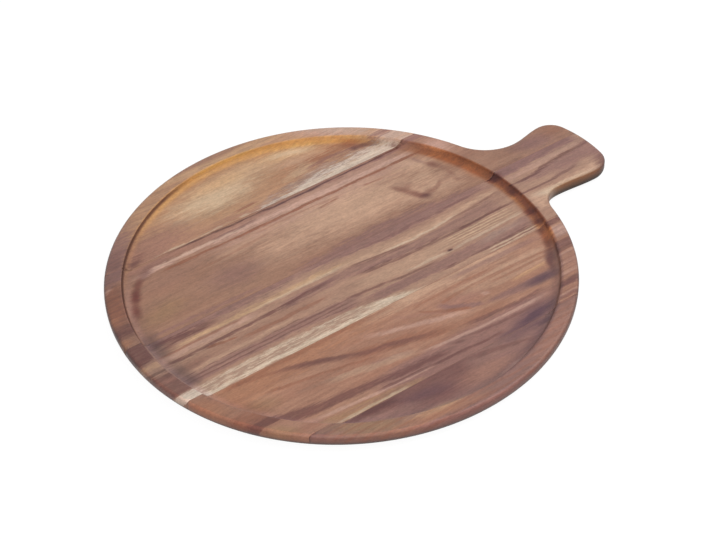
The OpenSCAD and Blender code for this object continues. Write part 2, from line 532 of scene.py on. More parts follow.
class Figure:
    """The grain of one face of a stave, built up streak by streak over a mottled ground."""

    def __init__(self, bench, along, across, depth, ground, mottle, wander, well):
        self.bench = bench
        self.wander = wander
        self.well = well
        self.along = along
        self.across = across
        self.made = {}
        for scales, reach in SWAYS:
            sway = bench.noise(along, across, depth, scales)
            self.across = bench.spread(sway, reach * wander, self.across)
        fleck = bench.noise(along, across, depth, FLECKS, FINE_DETAIL, NOISE_ROUGH)
        self.fleck = bench.ease(fleck, *FLECKS_RISE)
        self.dash = bench.ease(bench.noise(along, across, depth, DASHES), *DASHES_RISE)
        mottles = bench.noise(along, self.across, depth, MOTTLES, MOTTLE_DETAIL, NOISE_ROUGH)
        self.colour = bench.mix(bench.ease(mottles, *MOTTLES_RISE), ground, mottle)

    def shared(self, make, *values):
        """A value that several streaks use alike, made only once."""
        key = (make.__name__, *values)
        if key not in self.made:
            self.made[key] = make(*values)
        return self.made[key]

    def share_along(self, first, last):
        """How far along a line with these ends a place lies."""
        return self.bench.share(self.along, first, last)

    def rise(self, start, full):
        """Nothing at the start of a fade along the grain, one where it is full."""
        return self.bench.ease(self.along, start, full)

    def ragged(self, fine, breaks):
        """How far the edge of a streak is moved in or out at a place."""
        breaks *= self.wander
        return self.bench.math("MULTIPLY_ADD", self.dash if fine else self.fleck, breaks, -0.5 * breaks)

    def run(self, points):
        """Place across the grain that follows a smooth line through points along it, or a level."""
        if isinstance(points, (int, float)):
            return points
        heights = [across for _, across in points]
        low, high = min(heights), max(heights)
        if high - low < LEVEL:
            return low
        first, last = points[0][0], points[-1][0]
        share = self.shared(self.share_along, first, last)
        curve = self.bench.node("ShaderNodeFloatCurve")
        curve.mapping.extend = "HORIZONTAL"
        line = curve.mapping.curves[0].points
        scaled = [((along - first) / (last - first), (across - low) / (high - low))
                  for along, across in points]
        line[0].location, line[1].location = scaled[0], scaled[-1]
        for place in scaled[1:-1]:
            line.new(*place)
        curve.mapping.update()
        self.bench.feed(curve.inputs["Value"], share)
        return self.bench.math("MULTIPLY_ADD", curve.outputs[0], high - low, low)

    def lay(self, mask, colour, strength):
        """Lays a colour over all that was laid before."""
        if strength != 1.0:
            mask = self.bench.product(mask, strength)
        self.colour = self.bench.mix(mask, self.colour, colour)

    def streak(self, colour, upper, lower, ends, soft, fade, strength, breaks, fine=False, lines=None):
        """A colour between two edges, soft above and below, fading in and out at its ends."""
        start = self.shared(self.rise, ends[0], ends[0] + fade)
        stop = self.shared(self.rise, ends[1], ends[1] - fade)
        mask = self.bench.group(
            STREAK, Across=self.across, Upper_edge=upper, Lower_edge=lower, Upper_soft=soft[0],
            Lower_soft=soft[1], Ends=self.bench.product(start, stop),
            Ragged=self.shared(self.ragged, fine, breaks))["Mask"]
        if lines:
            mask = self.bench.product(mask, lines)
        self.lay(mask, colour, strength)

    def band(self, colour, upper, lower, soft, fade, strength, breaks=1.0, **kind):
        """A region from an upper line of points down to a lower edge.

        The lower edge is a level, heights at the upper line's places, or points of its own.
        """
        if isinstance(lower, list) and not isinstance(lower[0], tuple):
            lower = [(along, height) for (along, _), height in zip(upper, lower)]
        ends = (upper[0][0], upper[-1][0])
        self.streak(colour, self.run(upper), self.run(lower), ends, soft, fade, strength, breaks, **kind)

    def flecks(self, colour, upper, lower, soft, fade, strength):
        """A region like a band, but broken into short fine dashes."""
        self.band(colour, upper, lower, soft, fade, strength, FLECK_BREAKS, fine=True)

    def ripples(self, colour, upper, lower, pitch, shift, soft, fade, strength):
        """A region like a band, drawn as fine lines side by side at a pitch across the grain."""
        turns = self.bench.math("MULTIPLY_ADD", self.across, 2 * math.pi / pitch, 2 * math.pi * shift)
        lines = self.bench.ease(self.bench.math("SINE", turns), 0.0, RIPPLE_CREST)
        self.band(colour, upper, lower, soft, fade, strength, RIPPLE_BREAKS, lines=lines)

    def line(self, colour, points, width, soft, fade, strength, breaks=1.0):
        """A narrow streak along points; width is its full core, soft its fading on each side."""
        centre = self.run(points)
        upper = self.bench.math("ADD", centre, width / 2 + soft[0])
        lower = self.bench.math("SUBTRACT", centre, width / 2 + soft[1])
        ends = (points[0][0], points[-1][0])
        self.streak(colour, upper, lower, ends, soft, fade, strength, breaks)

    def oval(self, centre, half, tilt, soft, breaks):
        """Mask of a patch: half length along its own axis, half width, tilt in degrees."""
        return self.bench.group(
            PATCH, Along=self.along, Across=self.across, Centre_along=centre[0],
            Centre_across=centre[1], Half_length=half[0], Half_width=half[1],
            Tilt=math.radians(tilt), Soft=soft, Ragged=self.shared(self.ragged, False, breaks))["Mask"]

    def patch(self, colour, centre, half, tilt, strength, soft=PATCH_SOFT, breaks=PATCH_BREAKS):
        """A soft oval patch of colour."""
        self.lay(self.oval(centre, half, tilt, soft, breaks), colour, strength)

    def knot(self, colour, centre, half, tilt, strength):
        """A patch with the smoother and softer edge of a knot."""
        self.patch(colour, centre, half, tilt, strength, KNOT_SOFT, KNOT_BREAKS)

    def upper_patch(self, colour, centre, half, tilt, strength, breaks=PATCH_BREAKS):
        """A soft patch kept to the well's floor and the faces above it, which the underside doesn't show.
        """
        mask = self.oval(centre, half, tilt, PATCH_SOFT, breaks)
        self.lay(self.bench.product(mask, self.well), colour, strength)


def left_cap_floor(wood):
    """Far segment: brown at its end, gold in the middle, pale sapwood at the joint."""
    wood.patch(ROSE, (-102, 110), (66, 28), 8, 0.9, 0.8)
    wood.patch(PLUM, (-120, 101), (22, 8), 36, 0.75)
    wood.band(ROSE, [(-80, 113), (0, 110), (40, 118)], [97, 97, 104], (11, 1), 40, 0.6)
    wood.band(ORANGE, [(10, 127), (60, 135), (122, 134)], [111, 114, 120], (9, 5), 34, 0.5)
    wood.band(RUST, [(25, 124), (60, 131), (122, 132)], [114, 117, 121], (7, 4), 34, 0.65)
    # Painted shade on the floor at the foot of the far wall
    wood.patch(RUST, (100, 122), (20, 7), -42, 0.6)
    # Golden middle
    wood.patch(STRAW, (-26, 133), (56, 22), 2, 1.0)
    wood.patch(STRAW, (8, 147), (62, 15), -4, 0.45)
    wood.patch(HONEY, (47, 146), (38, 11), -18, 0.6)
    wood.patch(STRAW, (54, 145), (34, 8), -14, 0.9)
    wood.patch(HONEY, (-14, 146), (44, 12), 4, 0.5)
    wood.patch(STRAW, (44, 120), (26, 7), 8, 0.5)
    wood.patch(STRAW, (-28, 136), (30, 10), 0, 0.5)
    wood.patch(BEIGE, (52, 133), (30, 9), -2, 0.5)
    # Sapwood and the flecks beside it
    wood.band(GREY, [(-10, 106), (30, 112), (60, 117), (85, 118)], [(-10, 99), (85, 103)], (5, 3), 20, 0.7)
    wood.band(PEARL,
              [(-18, 100), (20, 104), (40, 107), (60, 110.5), (80, 113.5), (100, 115.5), (112, 115.5),
               (145, 115)], 97, (4.5, 0.8), 16, 0.75)
    wood.flecks(MAUVE, [(0, 107), (40, 113), (60, 116), (80, 118), (112, 119)],
                [100, 103, 105, 107.5, 109], (3, 5), 14, 0.45)
    wood.line(MAUVE, [(40, 116), (60, 119.5), (80, 120), (110, 119)], 1.6, (2.2, 2.6), 16, 0.5)
    wood.line(PLUM, [(92, 119), (112, 115), (124, 108)], 2.4, (2, 3), 8, 0.7)
    wood.line(IVORY, [(14, 100.5), (60, 102), (118, 104)], 1.6, (1.6, 1.6), 20, 0.4, 1.5)
    wood.patch(PLUM, (122, 113), (10, 4), -46, 0.7)
    wood.patch(MAROON, (126, 100.5), (8, 4), -40, 0.6)
    wood.line(CREAM, [(-108, 99.5), (-60, 99.7), (-12, 99.4)], 0.5, (0.8, 0.8), 10, 0.5, 1.4)
    wood.line(RUST, [(-28, 107.4), (0, 108.4)], 0.8, (1, 1.2), 10, 0.6)


def left_cap_rim(wood):
    """Rim of the far segment: brown ends, gold between, and the end of the sapwood."""
    wood.patch(MAUVE, (-130, 112), (54, 20), 48, 0.9, 0.8)
    wood.patch(PLUM, (-136, 104), (26, 12), 48, 0.35)
    wood.patch(GOLD, (0, 166), (84, 7), 0, 0.6, 0.8)
    wood.patch(PINK, (85, 147), (44, 8), -38, 0.55, 0.8)
    wood.patch(BROWN, (-20, 174), (70, 7), 0, 0.8, 0.8)
    wood.ripples(BROWN, [(-150, 170), (120, 170)], 100, 5.0, 0.0, (4, 4), 20, 0.35)
    wood.patch(GREY, (96, 147), (64, 13), -46, 0.7, 0.8)
    wood.band(SAP, [(100, 115), (150, 115)], 97, (3, 2), 14, 0.6)
    wood.band(MAUVE, [(100, 120.5), (150, 120.5)], 111, (2.4, 5), 8, 0.75)


def left_floor(wood):
    """Plain stave: tan ground, pink and red lines at the far joint, a knot towards the handle."""
    wood.patch(BEIGE, (48, 58), (112, 36), -2, 0.95, 0.8)
    wood.patch(BEIGE, (116, 40), (44, 20), -8, 0.75)
    wood.patch(BEIGE, (-24, 48), (40, 20), 0, 0.4)
    wood.patch(BEIGE, (124, 72), (32, 16), -30, 0.9)
    wood.patch(OLIVE, (-130, 42), (30, 14), 12, 0.5)
    wood.patch(MAUVE, (-65, 46), (36, 20), 0, 0.55)
    wood.patch(ROSE, (-105, 72), (44, 14), 5, 0.4)
    # Warm foot of the wall towards the handle
    for centre, half, tilt in (((128, 84), (18, 7), -55), ((146, 60), (22, 7), -66),
                               ((153, 35), (18, 6), -80)):
        wood.upper_patch(ORANGE, centre, half, tilt, 0.5)
    # Stripes along both joints
    wood.band(PINK, [(-90, 96), (150, 96)], 64, (2, 20), 60, 0.5)
    wood.band(BROWN, [(-170, 30), (-60, 27)], 17, (9, 1), 34, 0.5)
    wood.line(MAUVE, [(-160, 23.5), (-110, 24), (-50, 22)], 1.2, (1.6, 2.4), 20, 0.6)
    wood.band(MAUVE, [(-45, 23), (0, 28), (60, 31), (85, 30), (115, 26), (165, 22)], 17, (8, 1), 34, 0.85)
    wood.band(ROSE, [(-145, 97), (150, 99)], [(-145, 91), (-40, 90.5), (20, 91.5), (150, 91)],
              (1, 3.4), 25, 0.75)
    wood.band(MAUVE, [(-20, 98), (150, 98)], [(-20, 92), (20, 92.5), (150, 91)], (1, 3), 50, 0.7)
    wood.patch(MAUVE, (-112, 91), (30, 7), 4, 0.5)
    wood.line(PINK, [(-135, 86), (-115, 87), (-60, 88.6), (0, 87.5), (60, 86.4), (140, 86)],
              2.0, (2.2, 2.4), 22, 0.9)
    wood.line(CREAM, [(-115, 88.2), (-60, 89), (-20, 88.2)], 0.8, (1.4, 1.6), 18, 0.25)
    wood.line(PLUM, [(-62, 90.8), (-40, 90.4), (-12, 90.8)], 1, (1.4, 1.8), 12, 0.6)
    wood.line(RUST, [(-112, 82), (-80, 82.3), (0, 82), (60, 82.6), (145, 81.5)], 1.1, (0.9, 1.8), 16, 0.9)
    wood.line(INK, [(-100, 97.4), (-40, 97), (0, 96), (50, 95.6), (90, 96.2), (138, 97.4)],
              0.7, (0.8, 1.3), 30, 0.75, 1.2)
    wood.band(MAROON, [(95, 99), (145, 99)], [95, 94], (0.6, 2.4), 20, 0.55)
    # Thin lines in the plain wood
    wood.patch(BEIGE, (-40, 70), (44, 9), 4, 0.5)
    wood.line(RUST, [(-90, 66), (-60, 68), (-10, 71.5)], 0.8, (1.4, 2), 16, 0.35)
    wood.line(RUST, [(-30, 77.5), (20, 77), (60, 75)], 0.6, (1, 1.6), 12, 0.35)
    wood.line(RUST, [(28, 71.6), (38, 72.6), (52, 73.8)], 1.2, (1, 1.6), 6, 0.7)
    wood.line(RUST, [(72, 73.8), (97, 73)], 0.8, (1, 1.2), 8, 0.6)
    wood.line(BROWN, [(80, 68), (118, 64)], 0.8, (1.4, 1.4), 12, 0.5)
    # Knot and its branches
    wood.patch(BROWN, (100, 54), (16, 9), -40, 0.45, 0.95)
    wood.patch(BEIGE, (122, 55), (13, 8), 0, 0.6)
    wood.knot(COCOA, (94, 54), (10, 4.6), -52, 0.6)
    wood.knot(COCOA, (101, 51), (10, 4.6), 24, 0.45)
    wood.knot(COCOA, (112, 37.5), (9, 4.6), 12, 0.5)
    wood.knot(COCOA, (134, 42), (12, 5), 20, 0.35)
    wood.knot(COCOA, (97.5, 48), (12, 6), -60, 0.7)
    wood.knot(COCOA, (102, 40), (11, 6.4), -55, 0.85)
    wood.knot(PLUM, (106.5, 34), (8.4, 5.6), -24, 0.9)
    wood.knot(COCOA, (104, 36), (8, 5.4), -40, 0.5)
    wood.knot(INK, (107, 34), (7, 3.8), -24, 0.5)
    wood.line(COCOA, [(106, 35), (114, 35.4), (120, 37.6), (126, 41), (132, 46)], 1.6, (3, 3), 8, 0.6, 0.4)
    wood.line(BROWN, [(102, 46), (110, 45), (122, 45.5)], 0.8, (1.8, 1.8), 8, 0.5, 0.5)
    wood.patch(MAUVE, (129, 74), (12, 4), -72, 0.5, 0.95, 0.3)
    wood.knot(COCOA, (135.5, 62), (10, 6.6), -60, 0.9)
    wood.knot(COCOA, (139.5, 55), (8, 4.6), -70, 0.4)
    wood.knot(COCOA, (140.5, 45), (8, 3.6), -84, 0.5)
    wood.knot(COCOA, (139, 37), (6, 3.4), -70, 0.4)
    wood.line(BROWN, [(138, 37), (146, 31)], 1.6, (1.6, 1.6), 4, 0.6)
    # Painted shade along the foot of the wall at the end away from the handle
    wood.upper_patch(PLUM, (-120, 86), (15, 6), 30, 0.6, 0.2)
    wood.upper_patch(MAROON, (-130, 79), (14, 5.5), 50, 0.7, 0.2)
    wood.upper_patch(MAROON, (-138, 69), (15, 6), 58, 0.95, 0.2)
    wood.upper_patch(MAROON, (-146, 55), (13, 6), 66, 0.8, 0.2)


def left_rim(wood):
    """Rim and handle of the plain stave: red and dark at one end, purple brown at the other."""
    wood.patch(RUST, (-160, 64), (38, 20), 62, 0.8, 0.8)
    wood.line(PINK, [(-165, 80), (-148, 82.5)], 1.4, (1.8, 2), 6, 0.45)
    wood.band(MAUVE, [(-172, 99), (-120, 99)], 84, (1, 5), 14, 0.9)
    wood.patch(ORANGE, (-168, 50), (9, 7), 0, 0.35)
    wood.band(PLUM, [(-190, 46), (-145, 46)], 28, (9, 6), 8, 0.8, 0.5)
    wood.patch(ORANGE, (-174, 24), (10, 6), 0, 0.6)
    wood.ripples(PLUM, [(-185, 95), (-140, 95)], 22, 6.0, 0.3, (4, 4), 10, 0.3)
    wood.band(MAUVE, [(112, 99), (160, 99)], 88, (0.6, 6), 10, 0.75)
    wood.patch(PINK, (150, 75), (18, 14), -50, 0.6)
    # Handle
    wood.patch(MAUVE, (213, 30), (32, 14), -10, 0.8)
    wood.patch(RUST, (238, 33), (18, 16), 0, 0.35, 0.95)
    wood.line(PLUM, [(155, 20.2), (175, 20.4), (200, 20.2)], 0.8, (1.6, 1), 14, 0.45)


def middle_floor(wood):
    """Striped stave: dark and gold stripes, a wavy vein and a cream edge of sapwood."""
    # Dark and gold stripes along the far joint
    wood.band(MAUVE, [(-170, 20), (-20, 20)], [10, 11], (1, 5), 20, 0.8)
    wood.band(PLUM, [(-170, 19), (-95, 16)], [(-170, 5), (-130, 6), (-95, 9)], (4, 4), 30, 0.85)
    wood.band(MAUVE, [(-40, 21), (165, 21)], [(-40, 13), (0, 11), (40, 8), (70, 6.5), (100, 8), (165, 10)],
              (1, 5), 30, 0.9, 0.8)
    wood.band(PLUM, [(20, 16), (80, 14), (165, 18)], [12, 9, 13], (3, 4), 40, 0.4)
    wood.band(GOLD, [(-165, 6), (-100, 9), (-50, 10), (-5, 10), (30, 8)], [1.5, 2, 2.5, 3, 2],
              (4, 2), 45, 0.75)
    wood.line(CREAM, [(-85, 3.2), (-40, 4), (-10, 4), (20, 3)], 1, (2, 1.6), 28, 0.4)
    wood.line(PINK, [(-165, -2.5), (-120, -1.8), (-70, -0.5)], 2.4, (2, 2.4), 18, 0.5)
    wood.line(RUST, [(-165, 1), (-120, 1.2), (-85, 1.8)], 0.7, (1, 1.4), 12, 0.55)
    # Brown stripes at the end away from the handle
    wood.band(BROWN, [(-165, -9), (-80, -8), (-20, -5)], [-21, -21, -18], (3, 4), 24, 0.7)
    wood.line(MAUVE, [(-70, -5), (-40, -5), (0, -6)], 4, (3, 4), 24, 0.7)
    wood.line(PLUM, [(-170, -8), (-130, -7.6), (-80, -6.4), (-40, -4.5), (0, -3)], 1, (1.2, 3), 22, 0.8)
    wood.line(RUST, [(-128, -8.5), (-100, -13.5)], 1, (0.9, 1.4), 5, 0.7)
    wood.line(RUST, [(-105, -17), (-70, -16.5), (-20, -17)], 1, (1.4, 2.4), 14, 0.5)
    wood.line(BEIGE, [(-150, -23), (-100, -22.4), (-50, -22)], 1.2, (1.8, 1.6), 20, 0.55)
    wood.band(MAUVE, [(-170, -24.5), (-80, -24), (-40, -25), (5, -28)], [-37, -36, -38, -41],
              (3, 2.5), 25, 0.65)
    wood.ripples(PLUM, [(-165, -25), (-80, -24.6), (-5, -26)], [-36, -35.6, -38],
                 3.6, 0.2, (1, 1), 20, 0.6)
    # Wavy vein and the stripes towards the handle
    wood.band(TAN, [(0, 9), (40, 7), (70, 5.5), (100, 8), (160, 9)],
              [(0, 2), (40, 0), (65, -2), (100, 0), (160, 5)], (3, 1.5), 12, 0.6)
    wood.band(MAUVE, [(-35, -2), (0, 0), (20, -1), (45, -4), (65, -4.5), (100, -2.5), (160, 3)],
              [-6, -10, -13, -15, -15.5, -15, -14], (1.6, 4), 28, 0.55)
    wood.band(MAUVE, [(-10, -3), (25, -5), (60, -9), (90, -10)], [-9, -13, -15, -15], (4, 3), 26, 0.5)
    wood.line(PLUM, [(2, 0.4), (25, -1), (45, -3.6), (66, -4.6)], 0.7, (0.9, 2.6), 14, 0.65)
    wood.line(BEIGE, [(-5, 3), (20, 2), (45, -0.6), (65, -1.4), (90, 0), (118, 3), (160, 7)],
              2, (2.4, 1.4), 14, 0.6)
    wood.line(CREAM, [(30, 0.4), (45, -1.4), (65, -2.2), (90, -0.8), (118, 2)], 0.8, (1.4, 1), 24, 0.6)
    wood.line(PLUM, [(95, -2), (125, 0.6), (160, 4.6)], 0.6, (0.9, 1.6), 20, 0.5)
    wood.line(PLUM, [(0, -9.5), (30, -13.2), (60, -15), (100, -15), (162, -14)], 0.9, (2.6, 1.6), 20, 0.65)
    wood.line(PLUM, [(92, -15), (130, -14.6), (162, -13.6)], 1, (1.2, 1.2), 16, 0.6)
    wood.band(TAN, [(-5, -14), (50, -17), (100, -17), (160, -16)], [-29, -30, -29, -27], (3, 3), 20, 0.75)
    wood.line(PLUM, [(-20, -27.4), (10, -30), (40, -33.4), (70, -34.6)], 0.8, (1.4, 2), 16, 0.65)
    wood.band(MAUVE, [(-10, -31), (40, -34), (100, -33.5), (162, -31.5)], [-42, -46, -47, -46],
              (3, 3), 20, 0.75)
    wood.band(GREY, [(95, -33), (155, -31)], [-42, -40], (3, 3), 24, 0.35)
    wood.line(CREAM, [(35, -28.4), (70, -30.8), (100, -30), (158, -28)], 0.9, (2.2, 1.2), 14, 0.45)
    for colour, shift in ((STRAW, 0.0), (BROWN, 0.5)):
        wood.ripples(colour, [(70, -17), (160, -16)], [-29, -28], 2.7, shift, (2, 2), 30, 0.6)
    # Cream sapwood along the near joint
    wood.band(CREAM,
              [(-170, -38.5), (-100, -37), (-60, -37.5), (-30, -39), (0, -42), (25, -46.5), (46, -50.5)],
              [(-170, -53), (-140, -51.8), (-112, -50.6), (-88, -52), (-60, -53), (46, -53)],
              (3.4, 1.2), 20, 0.8)
    wood.flecks(IVORY, [(-160, -39.5), (-60, -39), (0, -43.5), (30, -48)], -52, (2.4, 1.6), 18, 0.5)
    wood.flecks(BROWN, [(-165, -40), (-60, -40.5), (0, -45)], [-48, -48, -50], (2, 2), 18, 0.7)
    wood.ripples(BROWN, [(-165, -39), (-60, -39.5), (10, -46)], [-51, -51, -52], 4.0, 0.0, (1, 1), 20, 0.3)
    wood.line(PLUM, [(55, -45.2), (110, -45), (158, -44)], 0.8, (1, 1.2), 15, 0.65, 1.2)
    for colour, shift in ((CREAM, 0.0), (PLUM, 0.5)):
        wood.ripples(colour, [(98, -45.5), (158, -45)], [-52, -51.5], 3.0, shift, (1, 1), 16, 0.6)
    # Dark spots and a pin knot
    for centre, half in (((-112, 11), (16, 5)), ((-148, 4), (12, 5)), ((-142, -18), (18, 6))):
        wood.patch(PLUM, centre, half, 0, 0.4)
    wood.patch(BROWN, (80.5, -28.8), (9, 3.6), 0, 0.5, breaks=0.3)
    wood.patch(INK, (80.5, -29.6), (3.8, 1.8), 0, 0.95, 0.7, 0.3)


def middle_rim(wood):
    """Rim and handle of the striped stave."""
    wood.band(PLUM, [(-190, 20), (-145, 20)], [-9, -5], (0.8, 9), 8, 0.9, 0.6)
    wood.line(GOLD, [(-185, -8), (-150, -6.5)], 1.6, (3, 3), 6, 0.5)
    wood.line(INK, [(-185, -14.8), (-150, -14)], 0.8, (1.6, 3), 6, 0.6)
    wood.band(PLUM, [(-190, -16), (-145, -16)], [-45, -44], (4, 3), 8, 0.75, 0.7)
    wood.line(ROSE, [(-185, -26), (-150, -25)], 1.4, (2, 2), 6, 0.5)
    wood.band(IVORY, [(-190, -43.5), (-145, -42.5)], -53, (2.4, 0.6), 6, 0.95)
    # Handle
    wood.band(MAUVE, [(155, 20), (200, 20.5), (225, 20), (250, 19.5)], [7, 8, 9, 10],
              (1.2, 5), 14, 1.0, 0.8)
    wood.line(PINK, [(160, 4.5), (200, 6.5), (225, 8), (250, 9)], 2, (3, 2), 12, 0.35)
    wood.band(MAUVE, [(165, -2), (200, 2), (215, 3), (252, 5)], [-9, -10, -11, -12], (2, 6), 20, 0.8)
    wood.line(PLUM, [(155, -1.5), (185, -1), (200, 2), (215, 3.4), (235, 4.8), (254, 6)],
              0.9, (1.6, 3), 6, 0.75)
    wood.line(PLUM, [(155, -15.2), (185, -15.8), (205, -14.4), (226, -12.6)], 0.8, (1.8, 2.2), 10, 0.65)
    wood.patch(MAUVE, (214, -10), (26, 7), 4, 0.5)
    wood.band(BEIGE, [(158, -18.5), (190, -19), (228, -18), (245, -17)], -42, (4, 4), 12, 0.85)
    wood.patch(CREAM, (182, -25), (20, 6), -8, 0.7)
    wood.patch(MAUVE, (251, -10), (22, 28), 0, 0.9)
    wood.line(STRAW, [(172, -28), (205, -28), (232, -30)], 6, (4, 4), 14, 0.5)
    wood.line(BROWN, [(166, -38), (186, -31)], 2.0, (1.8, 2.2), 6, 0.5)
    wood.patch(CREAM, (188, -29), (13, 4.6), 4, 0.4)
    wood.patch(PLUM, (243, -24), (18, 12), 40, 0.7)


def middle_wall(wood):
    """Dark patches on the wall where the cutter crossed the grain below the handle."""
    for centre, half, strength in (((161, 14.5), (9, 8), 1.0), ((162, -8), (6, 9), 0.6),
                                   ((157, -36), (7, 7), 0.8), ((154, -49), (6, 4), 0.7)):
        wood.upper_patch(MAROON, centre, half, 0, strength)


def right_floor(wood):
    """Stave with the flame figure in front of the middle."""
    wood.band(ORANGE, [(-170, -51), (0, -51), (160, -51)], [-95, -70, -60], (1, 22), 30, 0.6)
    wood.patch(OLIVE, (-128, -82), (24, 10), -14, 0.4)
    wood.patch(RUST, (-138, -80), (22, 14), -50, 0.45)
    wood.band(BEIGE, [(-40, -51), (140, -51)], [(-40, -60), (60, -66), (140, -66)], (2, 10), 40, 0.85)
    wood.band(BEIGE, [(40, -66), (150, -66)], [(40, -72), (70, -85), (150, -86)], (4, 6), 24, 0.7)
    # Long slanting lines
    wood.line(RUST, [(-145, -54), (-112, -57.5), (-92, -62.5)], 0.8, (1.4, 2.2), 14, 0.5)
    wood.line(RUST, [(-62, -76), (-30, -84), (0, -91), (34, -98)], 5, (4, 5), 24, 0.55)
    wood.line(PLUM,
              [(-112, -58.5), (-85, -64), (-70, -69), (-55, -75.5), (-40, -81), (-20, -86), (0, -92),
               (25, -97)], 1, (2.4, 5), 26, 0.65, 0.7)
    wood.line(PLUM, [(-92, -64), (-75, -69), (-52, -78)], 2, (2, 4), 12, 0.45, 0.7)
    wood.line(RUST, [(-125, -73), (-105, -76), (-80, -80.5), (-60, -84.5), (-30, -92)],
              0.8, (1.4, 3), 16, 0.6)
    wood.line(BROWN, [(-110, -86), (-70, -91), (-30, -99), (0, -104)], 0.8, (1.4, 2.4), 16, 0.6)
    wood.line(PINK, [(-38, -67), (-20, -72.5), (0, -79), (30, -87.5), (58, -94.5)], 1, (3.4, 3), 26, 0.6)
    wood.line(RUST, [(-10, -92), (20, -98), (50, -100), (90, -103)], 3, (4, 4), 30, 0.4)
    wood.line(RUST, [(-150, -54), (-60, -54), (20, -54.2)], 1.6, (1, 3), 24, 0.6)
    wood.line(MAUVE, [(-45, -94), (-30, -97.6), (-8, -102.5)], 1.2, (2, 2.4), 8, 0.6)
    wood.line(TAN, [(-85, -91), (-60, -94), (-40, -98), (0, -105)], 3, (3, 3), 20, 0.65)
    # Tongue of the flame
    wood.band(RUST, [(34, -74), (45, -72.5), (140, -73.5)], [(34, -77), (45, -86), (64, -92), (140, -90)],
              (2, 4), 8, 0.2)
    wood.patch(ROSE, (54, -80), (27, 9), -12, 0.95)
    wood.patch(MAUVE, (37, -78.5), (9, 5), -45, 0.6)
    wood.line(RUST, [(36, -75), (42, -73.2), (55, -72.2), (100, -72.5), (146, -77)],
              0.8, (1.4, 3), 4, 0.55)
    wood.line(MAUVE, [(34, -74.5), (38, -79), (44, -83.5), (52, -88), (64, -92.5)], 1.6, (4, 2.4), 5, 0.85)
    wood.line(RUST, [(17, -67), (19, -71.5), (26, -77.5), (38, -84), (54, -91)], 0.9, (2.6, 2), 5, 0.75)
    wood.line(RUST, [(16, -68), (22, -65.5), (40, -64.5), (90, -65)], 0.6, (1, 1.6), 6, 0.45)
    wood.line(ROSE, [(-6, -62), (4, -68), (20, -76), (40, -86)], 1, (3, 2.4), 12, 0.6)
    wood.line(RUST, [(75, -78), (145, -79)], 0.8, (1.2, 1.8), 14, 0.5)
    wood.line(MAUVE, [(50, -56), (100, -57.5), (152, -59)], 2.4, (2, 3), 24, 0.6)
    wood.line(PINK, [(66, -84), (75, -86)], 1.8, (1.6, 1.6), 4, 0.5)
    wood.line(HONEY, [(92, -86), (132, -85)], 1.4, (2, 2), 10, 0.35)
    # Dark wood beside the flame
    wood.band(MAUVE, [(58, -90), (100, -91), (138, -90)], [-94, -102, -103], (2.5, 4), 18, 0.85)
    wood.patch(SLATE, (114, -97), (24, 6.5), -3, 0.9, breaks=0.5)
    wood.upper_patch(PLUM, (131.5, -86), (17, 5), 62, 0.9)
    # Dark stripes along the near joint
    wood.band(MAUVE, [(-70, -105), (0, -104), (60, -103), (130, -103)], -131, (8, 1), 40, 0.85, 0.7)
    wood.line(PLUM, [(28, -101.5), (55, -105), (118, -107.5)], 1, (2.4, 2.2), 22, 0.6)
    wood.line(PINK, [(-12, -105.5), (20, -109.5), (60, -112), (112, -112)], 1, (1.6, 1.8), 22, 0.6)
    wood.line(PLUM, [(25, -112), (60, -116), (105, -117)], 0.7, (1.4, 1.6), 18, 0.55, 1.2)
    wood.band(PLUM, [(-155, -88), (-125, -94), (-100, -100), (-60, -105), (-20, -110), (18, -112)],
              [-106, -109, -113, -116, -120, -121], (5, 3), 20, 0.8, 0.9)
    wood.line(PINK, [(-112, -115.5), (-80, -118.6), (-40, -121.4), (0, -122.6)], 1.2, (1.4, 1.6), 18, 0.6)
    wood.band(OLIVE, [(-125, -113), (-100, -119), (-40, -123), (-15, -126)], -131, (3, 1), 16, 0.6)
    wood.line(PLUM, [(-60, -119), (-20, -121), (5, -122.5), (60, -125)], 1, (1, 1.6), 14, 0.75)
    wood.line(BROWN, [(-90, -124), (-50, -126), (-20, -127)], 0.9, (1.2, 1.4), 12, 0.65)
    wood.line(CREAM, [(-100, -128.4), (-30, -128.6)], 0.8, (1.4, 0.9), 14, 0.55)
    wood.patch(SLATE, (84, -124.5), (36, 10), 8, 1.0, breaks=0.5)
    wood.patch(SLATE, (60, -129), (26, 5), 0, 0.6, breaks=0.5)
    wood.patch(INK, (22, -114.4), (7, 1.6), -8, 0.5, breaks=0.5)


def right_wall(wood):
    """Dark patches on the wall beside the handle."""
    for centre, half, tilt, strength in (((149, -56), (7, 5), 70, 0.6), ((144, -70), (11, 5), 65, 0.55),
                                         ((137, -83), (13, 6), 58, 0.8)):
        wood.upper_patch(PLUM, centre, half, tilt, strength)


